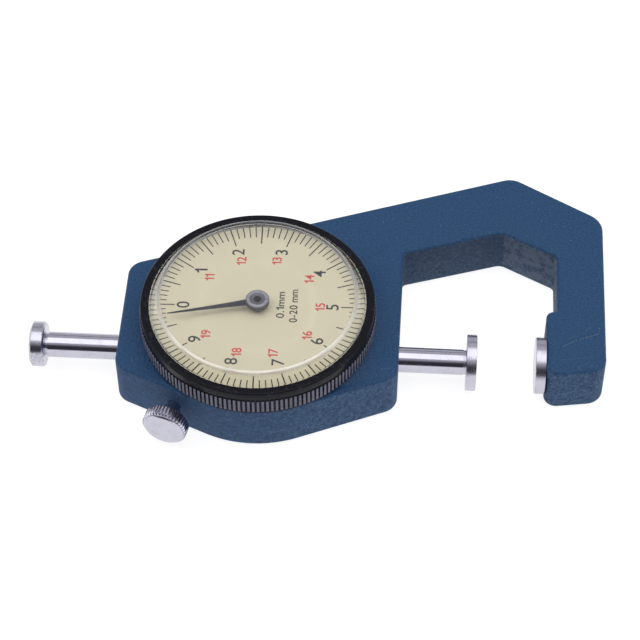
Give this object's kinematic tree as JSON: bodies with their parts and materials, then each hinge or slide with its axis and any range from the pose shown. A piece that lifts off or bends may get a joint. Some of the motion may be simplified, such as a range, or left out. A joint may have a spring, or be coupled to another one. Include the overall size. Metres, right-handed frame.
{
  "type": "dial thickness gauge",
  "caption": "C-frame dial thickness gauge with sliding spindle, fixed anvil, rotating dial bezel and knurled lock screw.",
  "frame": {"origin": "on the dial axis, in the plane of the flat back face", "axes": "+X along the spindle towards the anvil, +Y towards the back arm of the frame, +Z out of the dial"},
  "size_m": [0.0957, 0.0561, 0.0159],
  "materials": {
    "painted_casting": "blue hammer-textured enamel over a rough casting",
    "cover_lacquer": "dark satin lacquer with fine brushing",
    "steel_screw": "turned steel",
    "brass_plate": "fine-grained brass",
    "steel_turned": "bright turned steel",
    "bush_bronze": "reamed bronze",
    "polished_chrome": "polished chrome with fine turning marks",
    "spring_wire": "drawn spring wire",
    "pointer_blue": "blue-black lacquer",
    "hub_steel": "turned grey steel",
    "gear_brass": "cut brass",
    "hairspring_blue": "blued spring steel",
    "dial_cream": "cream enamel with printed scale",
    "bezel_black": "black anodised, knurled band",
    "reflector_silver": "spun bright aluminium",
    "crystal_clear": "clear acrylic, polished",
    "lock_chrome": "chrome, knurled edge",
    "pad_brass": "soft brass"
  },
  "bodies": {
    "body": {"frame": "painted_casting", "back_cover": "cover_lacquer", "cover_screws": "steel_screw", "lower_plate": "brass_plate", "upper_plate": "brass_plate", "pillars": "steel_turned", "pillar_screws": "steel_screw", "plate_screws": "steel_screw", "left_bush": "bush_bronze", "right_bush": "bush_bronze", "anvil": "polished_chrome", "spring_anchor": "steel_screw", "return_spring": "spring_wire", "hairspring": "hairspring_blue", "hairspring_stud": "steel_screw", "bezel_wire": "spring_wire"},
    "spindle_group": {"spindle": "polished_chrome", "contact_flange": "polished_chrome", "lift_knob": "polished_chrome", "guide_pin": "steel_turned", "spring_arm": "steel_turned"},
    "pointer_group": {"pinion_arbor": "steel_turned", "pointer": "pointer_blue", "pointer_hub": "hub_steel", "pointer_cap": "hub_steel"},
    "take_up_group": {"take_up_gear": "gear_brass", "take_up_arbor": "steel_turned"},
    "bezel_group": {"bezel": "bezel_black", "dial_plate": "dial_cream", "reflector_ring": "reflector_silver", "crystal": "crystal_clear"},
    "pad": {"lock_pad": "pad_brass"},
    "screw": {"lock_screw": "lock_chrome"}
  },
  "joints": [
    {"name": "spindle_slide", "type": "slide", "parent": "body", "child": "spindle_group", "axis": [1, 0, 0], "range_m": [-0.01032, 0.00968], "stiffness_N_per_m": 25, "springref_m": 0.05, "deforming": ["return_spring"]},
    {"name": "pointer_turn", "type": "hinge", "parent": "body", "child": "pointer_group", "pos_m": [0, 0, 0], "axis": [0, 0, 1], "range_deg": [-372, 349]},
    {"name": "take_up_turn", "type": "hinge", "parent": "body", "child": "take_up_group", "pos_m": [0, 0.00637, 0], "axis": [0, 0, 1], "range_deg": [-117, 125], "deforming": ["hairspring"]},
    {"name": "bezel_turn", "type": "hinge", "parent": "body", "child": "bezel_group", "pos_m": [0, 0, 0], "axis": [0, 0, 1], "continuous": true},
    {"name": "lock_travel", "type": "slide", "parent": "body", "child": "pad", "axis": [-0.2419, -0.9703, 0], "range_m": [0, 0.00075]},
    {"name": "lock_turn", "type": "hinge", "parent": "pad", "child": "screw", "pos_m": [-0.0141, -0.0205, 0.00475], "axis": [-0.2419, -0.9703, 0], "range_deg": [0, 541]}
  ],
  "couplings": [
    {"joint": "pointer_turn", "follows": "spindle_slide", "rad_per_m": 628.32},
    {"joint": "take_up_turn", "follows": "spindle_slide", "rad_per_m": -209.44},
    {"joint": "lock_turn", "follows": "lock_travel", "rad_per_m": 12566}
  ]
}
